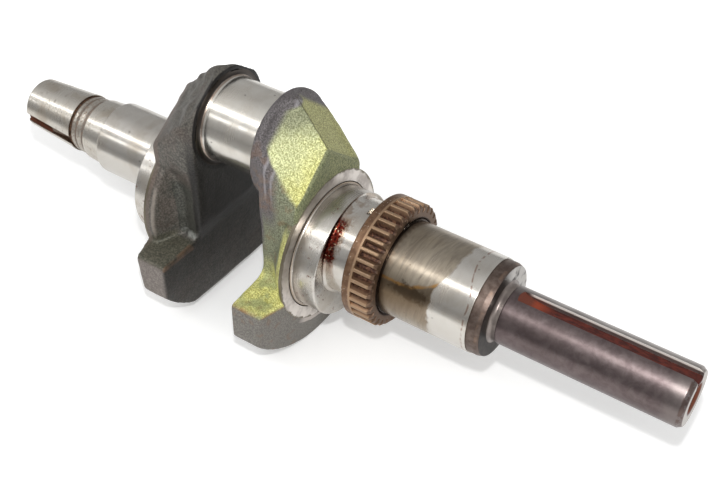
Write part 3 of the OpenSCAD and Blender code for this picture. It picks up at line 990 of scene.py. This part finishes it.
def taper_steel(name):
    """The ground taper, with brown scratches round it and rust in its keyway, darkened with painted shade at
    the keyway's deep end.
    """
    f = Finish(name, (208, 203, 194))
    cloud = f.patches(11, 0.42, 0.72, 3, 0.6, 0.5)
    f.paint(cloud, (158, 138, 112), 0.4)
    arcs = f.streaks(f.mul(f.x, 0.8), f.mul(f.angle(), 0.05), 1.0, 2, 0.5)
    f.paint(f.step(arcs, 0.62, 0.7), (120, 96, 74), 0.35)

    surface = f.add(f.mul(f.sub(f.x, mm(start("taper_root"))), TAPER), 15.0)
    tip, end = mm(start("flywheel_taper")), mm(FLYWHEEL_KEY_LENGTH)
    slot = f.both(f.step(f.sub(surface, f.off_axis()), 0.25, 0.6), f.step(f.x, tip + 0.1, tip + 0.3))
    deep = f.both(slot, f.step(f.x, tip + end + 0.4, tip + end - 0.8))
    f.paint(slot, (92, 76, 64))
    # Rust and painted shade in the deep end of the keyway.
    f.paint(deep, f.mix(f.noise(1.4, 3, 0.6), srgb(44, 28, 22), srgb(124, 70, 44)))
    lines = turned_lines(f, 0.0, 0.3)
    f.shine = f.blend(deep, f.add(0.2, f.add(f.mul(lines, 0.1), f.mul(cloud, 0.08))), 0.7)
    f.bump(lines, 0.006)
    return f.finish(f.blend(deep, 1.0, 0.3))


def gear_steel(name):
    """Brown oiled gear steel: dark red-brown gaps, lighter tooth tops and lands, and painted glints near the
    tooth tips.
    """
    f = Finish(name)
    out, tip = f.off_axis(), mm(radius("timing_gear"))
    back, front = mm(start("timing_gear")), mm(stop("timing_gear"))
    film = f.noise(2.4, 3, 0.6)
    f.colour = f.tones(film, 0.35, 0.7, (106, 80, 62), (134, 106, 83))
    gap = f.both(f.step(out, tip - 0.7, tip - 2.4), f.step(f.x, front - 0.05, front - 0.9))
    f.paint(gap, f.tones(f.noise(1.0), 0.4, 0.7, (66, 42, 33), (128, 92, 70)))
    f.paint(f.both(f.sub(1.0, gap), f.step(f.x, back + 3.0, back + 3.4)), (164, 134, 107), 0.5)
    # Painted glints: small bright specks near the tooth tips.
    painted_glint = f.both(f.patches(0.7, 0.66, 0.72, 2), f.step(out, tip - 1.6, tip - 0.6))
    f.paint(painted_glint, (222, 208, 190), 0.8)
    tops = f.both(f.step(out, tip - 0.9, tip - 0.2), f.step(f.x, back + 3.2, back + 3.6))
    f.paint(tops, (176, 148, 120), 0.6)
    f.paint(f.step(f.x, front - 1.5, front - 0.9), (96, 76, 62), 0.8)
    f.paint(f.step(out, 22.9, 22.2), (40, 28, 24), 0.8)
    f.shine = f.add(0.36, f.add(f.mul(film, 0.12), f.mul(gap, 0.18)))
    f.bump(film, 0.008)
    return f.finish(f.blend(gap, 0.85, 0.4))


# Forging finishes ----------------------------------------------------------------------------------


def raw_forging(name):
    """Shot-blasted forging under an olive oil film: facets bright with painted light, the far side painted
    lighter, green flanks, brown-grey below, and painted highlight lines on the rim.
    """
    f = Finish(name)
    speck = f.noise(0.62, 3, 0.8)
    cloud = f.noise(9, 3, 0.6)

    def speckled(dark, light):
        return f.tones(speck, 0.4, 0.62, dark, light)

    green = speckled((88, 91, 70), (142, 145, 120))
    yellow = speckled((168, 162, 70), (255, 254, 172))
    brown = speckled((96, 92, 86), (134, 130, 123))
    thrust, disc = mm(PTO_THRUST), mm(DISC_R)
    inward = f.sub(f.x, mm(PTO_INNER))

    # The flanks and the ears
    f.colour = green
    f.paint(f.step(f.add(f.z, f.mul(cloud, 10.0)), -8.0, -16.0), brown)
    # Painted light: the upper far side is painted lighter, for light that falls on it from behind.
    f.paint(f.both(f.step(f.y, -0.2, 0.4), f.step(f.z, 4.0, 12.0)), speckled((118, 117, 66), (198, 197, 140)))
    f.paint(f.step(f.z, -17.5, -21.0), brown)
    on_ear = f.both(f.step(f.side, 23.0, 26.0), f.step(f.z, -19.5, -17.6),
                    f.step(f.add(f.z, f.mul(cloud, 6.0)), 0.5, -6.5))
    ear = f.mix(f.step(cloud, 0.35, 0.6), speckled((144, 148, 90), (192, 196, 138)), yellow)
    f.paint(on_ear, ear, 0.9)

    # The facets, with painted light on the near one, and the slope round the thrust face
    facet = f.sub(f.sub(f.x, thrust), f.mul(f.sub(42.7, f.z), 0.78))
    off_facet = f.math("ABSOLUTE", f.add(facet, f.mul(f.side, 0.65)))
    strip = f.both(f.step(f.x, thrust - 1.5, thrust - 0.8), f.step(f.z, 15.0, 19.0))
    on_facet = f.both(f.step(off_facet, 1.6, 0.7), f.step(f.z, 12.0, 17.0), f.sub(1.0, strip))
    inset = f.add(f.sub(24.3, f.side), f.mul(f.sub(cloud, 0.5), 3.0))
    lit = f.both(on_facet, f.step(f.y, 0.4, -0.2), f.step(inset, 1.0, 3.5))
    pale = speckled((160, 163, 108), (242, 245, 194))
    height = f.add(f.sub(f.z, f.mul(f.y, 0.6)), f.mul(cloud, 16.0))
    sunny = f.mix(f.step(height, 62.0, 44.0), pale, yellow)
    down = f.step(f.add(f.z, f.mul(cloud, 8.0)), 61.0, 50.0)
    # Painted light: the near facet is bright yellow low down, paler higher up and green at the top.
    f.paint(lit, f.mix(f.blend(down, 0.8, 0.0), sunny, green))
    cone = f.math("ABSOLUTE", f.sub(f.off_axis(ECCENTRIC_Z), f.sub(f.x, thrust - 1.5 - disc)))
    slope = f.both(f.step(cone, 1.6, 0.8), f.step(f.z, -13.0, -9.0), f.step(f.z, 18.0, 12.0),
                   f.step(f.add(f.x, f.mul(f.sub(cloud, 0.5), 4.0)), thrust - 6.5, thrust - 4.0))
    f.paint(slope, yellow, 0.7)

    # The rim and the cheek round the crankpin, with painted highlight lines on the rim
    rim = f.both(f.step(f.off_axis(PIN_Z), mm(BOSS_R) - 3.6, mm(BOSS_R) - 2.2), f.step(f.z, 8.0, 22.0),
                 f.step(inward, 12.0, 6.0), f.step(f.y, 9.0, 2.0))
    cheek = f.both(f.step(inward, 3.5, 1.0), f.step(f.z, -6.0, 10.0))
    f.paint(f.either(rim, cheek), speckled((72, 68, 68), (118, 113, 114)))
    # Painted highlights: two light lines along the upper rim.
    lines = f.either(f.band(f.add(inward, cloud), 4.4, 0.25, 0.5),
                     f.band(f.add(inward, f.mul(cloud, 1.5)), 8.0, 0.2, 0.6))
    f.paint(f.both(rim, f.step(f.z, 24.0, 32.0), lines), (176, 172, 176), 0.4)
    rusty = f.both(rim, f.step(f.z, 44.0, 34.0), f.step(f.z, 18.0, 24.0), f.patches(4, 0.42, 0.6))
    f.paint(rusty, (138, 108, 84), 0.35)

    # Edges, stains and bare metal
    f.paint(strip, speckled((84, 92, 62), (150, 152, 112)), 0.85)
    f.paint(f.both(f.band(f.y, 0.35, 0.1, 0.3), on_facet), (66, 60, 40), 0.75)
    f.paint(f.both(f.patches(5, 0.56, 0.66), f.step(f.side, 19.0, 23.0)), (124, 86, 54), 0.3)
    brow = f.both(f.band(f.z, -18.6, 0.3, 0.7), f.step(f.side, 26.0, 28.0), f.step(cloud, 0.35, 0.6))
    f.paint(brow, (132, 84, 50), 0.6)
    bent = f.add(f.mul(f.sub(f.z, 21.0), 0.9), f.mul(f.noise(3), 1.2))
    scar = f.both(f.band(f.sub(f.add(f.y, 7.2), f.mul(bent, 0.35)), 0.0, 0.3, 0.4),
                  f.band(f.z, 21.5, 2.6, 0.8), f.step(f.x, thrust - 16.0, thrust - 14.0))
    f.paint(scar, (198, 192, 206), 0.8)
    rub = f.add(f.off_axis(ECCENTRIC_Z), f.wander(1.2, 3, 3))
    bare = f.both(f.step(rub, disc + 2.8, disc + 2.2), f.step(f.z, -14.0, -22.0),
                  f.step(f.x, thrust - 9.0, thrust - 7.0), f.step(f.y, -24.0, -18.0))
    f.paint(bare, (198, 188, 181), 0.85)
    f.shine = f.add(0.42, f.mul(speck, 0.2))
    f.bump(speck, 0.3)
    f.bump(f.noise(0.4, 2, 0.6), 0.08)
    return f.finish(0.3)


def dark_forging(name):
    """The flywheel side's forging: dark scale, brown at the edges, with a black ring round the pin of oil and
    a painted dark reflection, painted shade on the side that faces the pin and in the web's hollow, and
    painted highlights at the web's edge.
    """
    f = Finish(name)
    speck = f.noise(0.9, 3, 0.7)
    cloud = f.noise(11, 3, 0.6)
    ear_top, face, pin_face = -16.3, mm(FLYWHEEL_THRUST), mm(PIN_FLYWHEEL)

    def speckled(dark, light):
        return f.tones(speck, 0.35, 0.72, dark, light)

    # The scale, and painted shade on the side that faces the pin
    f.colour = speckled((66, 64, 60), (112, 108, 100))
    f.paint(f.step(cloud, 0.4, 0.65), speckled((70, 64, 58), (110, 102, 95)))
    ends = f.both(f.step(f.side, 45.0, 45.8), f.step(f.z, -17.0, -19.0))
    f.paint(ends, speckled((98, 90, 84), (136, 128, 122)))
    on_ear = f.both(f.step(f.side, 24.0, 27.0), f.step(f.z, -20.0, -18.0), f.step(f.z, -12.0, -14.0))
    f.paint(on_ear, speckled((62, 62, 50), (104, 102, 84)), 0.7)
    rim = f.both(f.step(f.off_axis(ECCENTRIC_Z), mm(DISC_R) - 2.5, mm(DISC_R) - 1.2),
                 f.step(f.x, face + 4.0, face + 2.5), f.step(f.z, -22.0, -14.0))
    f.paint(rim, (108, 92, 82), 0.5)
    inner = f.step(f.x, pin_face - 5.5, pin_face - 3.0)
    # Painted shade: the side that faces the pin is painted near black, fading out towards the top and lighter
    # low down.
    shade = f.mul(f.step(f.z, 52.0, 20.0), f.blend(f.step(f.z, -20.0, -48.0), 1.0, 0.6))
    f.paint(f.mul(inner, shade), f.tones(speck, 0.35, 0.75, (26, 25, 24), (54, 51, 48)))
    # Oil and a painted dark reflection: a black ring on the cheek round the pin.
    ring = f.both(f.band(f.off_axis(PIN_Z), 22.6, 0.9, 0.5), f.step(f.x, pin_face - 1.5, pin_face - 0.6))
    f.paint(ring, (22, 19, 18))

    # The web's edge: painted shade in its hollow, painted highlights on its lip and on the foot where it
    # meets the ear, and the ear's brow
    # Painted shade in the hollow of the web's edge.
    hollow_shade = f.both(f.step(f.side, 24.2, 23.6), f.step(f.z, 14.0, 9.0), f.step(f.z, -17.0, -14.0),
                    f.step(f.side, 19.0, 20.5), f.sub(1.0, inner))
    f.paint(hollow_shade, speckled((46, 48, 44), (86, 88, 80)), 0.75)
    # Painted highlight along the lip.
    lip = f.both(f.band(f.add(f.x, f.mul(cloud, 1.2)), face + 5.4, 0.3, 0.8), f.step(f.side, 18.0, 20.0),
                 f.step(f.z, 14.0, 8.0), f.step(f.z, -17.0, -10.0))
    f.paint(lip, (158, 148, 138), 0.5)
    # Painted highlight on the fillet where the web meets the ear.
    foot = f.both(f.band(f.z, ear_top + 1.6, 0.7, 1.4), f.step(f.side, 25.0, 23.0),
                  f.step(f.side, 18.0, 20.0), f.patches(4, 0.38, 0.6), f.sub(1.0, inner))
    f.paint(foot, (176, 178, 172), 0.55)
    brow = f.both(f.band(f.x, pin_face - 3.9, 0.35, 0.7), f.band(f.z, ear_top - 1.5, 1.6, 1.0),
                  f.step(f.side, 25.0, 27.0), f.step(cloud, 0.35, 0.55))
    f.paint(brow, (112, 88, 68), 0.6)
    f.shine = f.add(0.33, f.mul(speck, 0.24))
    f.bump(speck, 0.22)
    f.bump(f.noise(0.4, 2, 0.6), 0.06)
    return f.finish(0.3)


# Assembly ------------------------------------------------------------------------------------------

DISC_DEPTH = 1.5 * MM
DISC_RAGGED = mm(DISC_R) - 0.6  # the radius where the cut meets the forging


def show(piece, material, slot, *nodes):
    """Gives a piece its material and weighted shading, puts it under the root body, and hides the CAD nodes
    it stands for.
    """
    piece.data.materials.clear()
    piece.data.materials.append(material)
    piece.data.polygons.foreach_set("material_index", np.zeros(len(piece.data.polygons), np.int32))
    weighted(piece)
    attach(piece, "root")
    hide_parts(*nodes)


ground = polished("polished_steel")
about_pin = polished("polished_pin", PIN_Z, (230, 226, 218), stain=0.2, marks=pin_marks)
about_eccentric = polished("polished_eccentric", ECCENTRIC_Z, roughness=0.26, marks=eccentric_marks)
taper_finish = taper_steel("taper_steel")

show(output_shaft(), gunmetal("gunmetal_steel"), "gunmetal_steel", "output_shaft", "output_shaft_root")
show(output_neck(), machined("neck_steel", (122, 112, 108), 0.0), "machined_steel", "output_shaft_neck")
show(journal_shoulder(), oiled("oiled_steel"), "oiled_steel", "journal_shoulder")
show(main_journal(), polished("journal_steel", marks=journal_marks), "polished_steel", "pto_main_journal")
show(timing_gear(), gear_steel("gear_steel"), "gear_steel", "timing_gear")
show(gear_key(), gear_steel("key_steel"), "gear_steel", "gear_key")
show(gear_seat(), polished("seat_steel", marks=seat_marks), "polished_steel", "gear_seat")
show(eccentric("pto_eccentric_ground", "pto_eccentric", PTO_THRUST, 1),
     about_eccentric, "polished_steel", "pto_eccentric")
show(thrust_face("pto_thrust_face", PTO_THRUST, 1, DISC_DEPTH),
     machined("thrust_steel", (232, 225, 218), ragged=DISC_RAGGED), "machined_steel", "pto_thrust_disc")
show(pto_forging(), raw_forging("raw_forging"), "raw_forging", "pto_web", "pto_counterweight", "pto_cheek")
show(pin_fillet("pin_fillet_pto_turned", "pin_fillet_pto", PIN_PTO, -1),
     about_pin, "polished_steel", "pin_fillet_pto")
show(crankpin(), about_pin, "polished_steel", "crankpin")
show(pin_fillet("pin_fillet_flywheel_turned", "pin_fillet_flywheel", PIN_FLYWHEEL, 1),
     about_pin, "polished_steel", "pin_fillet_flywheel")
show(flywheel_forging(), dark_forging("dark_forging"), "dark_forging",
     "flywheel_web", "flywheel_counterweight")
show(thrust_face("flywheel_thrust_face", FLYWHEEL_THRUST, -1, DISC_DEPTH),
     machined("flywheel_thrust_steel", ragged=DISC_RAGGED), "machined_steel", "flywheel_thrust_disc")
show(eccentric("flywheel_eccentric_ground", "flywheel_eccentric", FLYWHEEL_THRUST, -1),
     about_eccentric, "polished_steel", "flywheel_eccentric")
show(magneto_journal(), ground, "polished_steel", "magneto_journal")
show(taper_root(), taper_finish, "machined_steel", "taper_root")
show(taper_groove(), rusted("rusted_steel"), "rusted_steel", "taper_groove")
show(flywheel_taper(), taper_finish, "machined_steel", "flywheel_taper")

# Studio --------------------------------------------------------------------------------------------

FLOOR_SIZE = 12.0
FLOOR_GLOW = 0.3
LENS = 56.48
CAMERA_PLACE = Vector((0.1556, -0.3070, 0.3159))
CAMERA_FORWARD = Vector((-0.4186, 0.6365, -0.6479)).normalized()
CAMERA_ROLL = math.radians(1.316)
WHITE = (1, 1, 1, 1)
HORIZON_LIGHT = 0.36
SKY_LIGHT = 0.44
GLOW_LIGHT = 0.3


def add_floor():
    """A pale floor at the lowest point of the crank. The steel reflects it greyer than it looks."""
    bm = bmesh.new()
    bmesh.ops.create_grid(bm, x_segments=8, y_segments=8, size=FLOOR_SIZE / 2)
    floor = object_from("floor", bm)
    floor.location = (0, 0, cad_bounds[0][2])
    f = Finish("floor_paper")
    middle = mm((cad_bounds[0].x + cad_bounds[1].x) / 2)
    along = f.math("MAXIMUM", f.sub(f.math("ABSOLUTE", f.sub(f.x, middle)), 130.0), 0.0)
    far = f.step(f.length(along, f.y), 95.0, 190.0)
    mirrored = f.node("ShaderNodeLightPath").outputs["Is Glossy Ray"]
    reflected = f.mul(f.add(0.1, f.mul(far, 0.18)), f.step(f.y, -215.0, -150.0))
    glow = f.blend(mirrored, f.add(FLOOR_GLOW, f.mul(far, 0.5)), reflected)
    f.wire(glow, f.shader.inputs["Emission Strength"])
    f.shader.inputs["Emission Color"].default_value = (1, 1, 0.99, 1)
    paper = f.mix(f.noise(40, 3), (0.83, 0.83, 0.825, 1), (0.86, 0.86, 0.86, 1))
    f.colour = f.mix(f.mul(f.step(f.y, -150.0, -215.0), mirrored), paper, (0.3, 0.3, 0.3, 1))
    f.shine = 0.85
    floor.data.materials.append(f.finish(0.0))


def add_camera():
    """The camera that the pictures are taken from."""
    camera = bpy.data.objects.new("camera", bpy.data.cameras.new("camera"))
    bpy.context.scene.collection.objects.link(camera)
    camera.data.lens = LENS
    camera.data.sensor_width = 36
    camera.data.clip_start = 0.01
    level = CAMERA_FORWARD.to_track_quat("-Z", "Y").to_matrix().to_4x4()
    camera.matrix_world = Matrix.Translation(CAMERA_PLACE) @ level @ Matrix.Rotation(CAMERA_ROLL, 4, "Z")
    bpy.context.scene.camera = camera


def add_area(name, place, target, width, height, power):
    """A rectangular soft light that faces its target, with its width along the crank."""
    light = bpy.data.lights.new(name, "AREA")
    light.shape = "RECTANGLE"
    light.size = width
    light.size_y = height
    light.energy = power
    obj = bpy.data.objects.new(name, light)
    bpy.context.scene.collection.objects.link(obj)
    away = (Vector(place) - Vector(target)).normalized()
    side = Vector((1, 0, 0))
    side = (side - away * side.dot(away)).normalized()
    turn = Matrix((side, away.cross(side), away)).transposed().to_4x4()
    obj.matrix_world = Matrix.Translation(place) @ turn


def add_strip(name, angle, distance, height, radiance, first, last):
    """A long light parallel to the crank, at an angle from straight above towards the camera's side."""
    turn = math.radians(angle)
    x, length = (first + last) / 2, last - first
    place = (x, -distance * math.sin(turn), distance * math.cos(turn))
    add_area(name, place, (x, 0, 0), length, height, radiance * math.pi * length * height)


def add_world():
    """Soft room light: paler overhead than at the horizon, a broad glow in front, and a white backdrop."""
    world = bpy.data.worlds.new("room")
    bpy.context.scene.world = world
    world.use_nodes = True
    w = Nodes(world.node_tree)
    room = next(n for n in w.tree.nodes if n.type == "BACKGROUND")
    output = next(n for n in w.tree.nodes if n.type == "OUTPUT_WORLD")
    _, y, z = w.split(w.node("ShaderNodeTexCoord").outputs["Generated"])
    turn = w.math("ARCTAN2", w.mul(y, -1.0), z)
    glow = w.both(w.step(turn, -0.5, 0.35), w.step(turn, 1.15, 0.55))
    sky = w.blend(w.step(z, 0.02, 0.45), HORIZON_LIGHT, SKY_LIGHT)
    w.wire(w.add(sky, w.mul(glow, GLOW_LIGHT)), room.inputs["Strength"])
    backdrop = w.node("ShaderNodeBackground")
    pick = w.node("ShaderNodeMixShader")
    w.wire(w.node("ShaderNodeLightPath").outputs["Is Camera Ray"], pick.inputs["Fac"])
    for background, socket in ((room, pick.inputs[1]), (backdrop, pick.inputs[2])):
        background.inputs["Color"].default_value = WHITE
        w.wire(background.outputs[0], socket)
    w.wire(pick.outputs[0], output.inputs["Surface"])


add_world()
add_floor()
add_camera()
add_strip("window", 36, 1.0, 0.13, 4.2, -1.8, 0.8)
add_strip("lamp", 59, 1.05, 0.1, 2.4, -1.8, -0.53)
add_area("flash", CAMERA_PLACE + Vector((-0.011, 0.014, 0.076)), (-0.05, 0, 0), 0.016, 0.016, 1.25)

scene = bpy.context.scene
scene.view_settings.view_transform = "Standard"
scene.view_settings.look = "None"
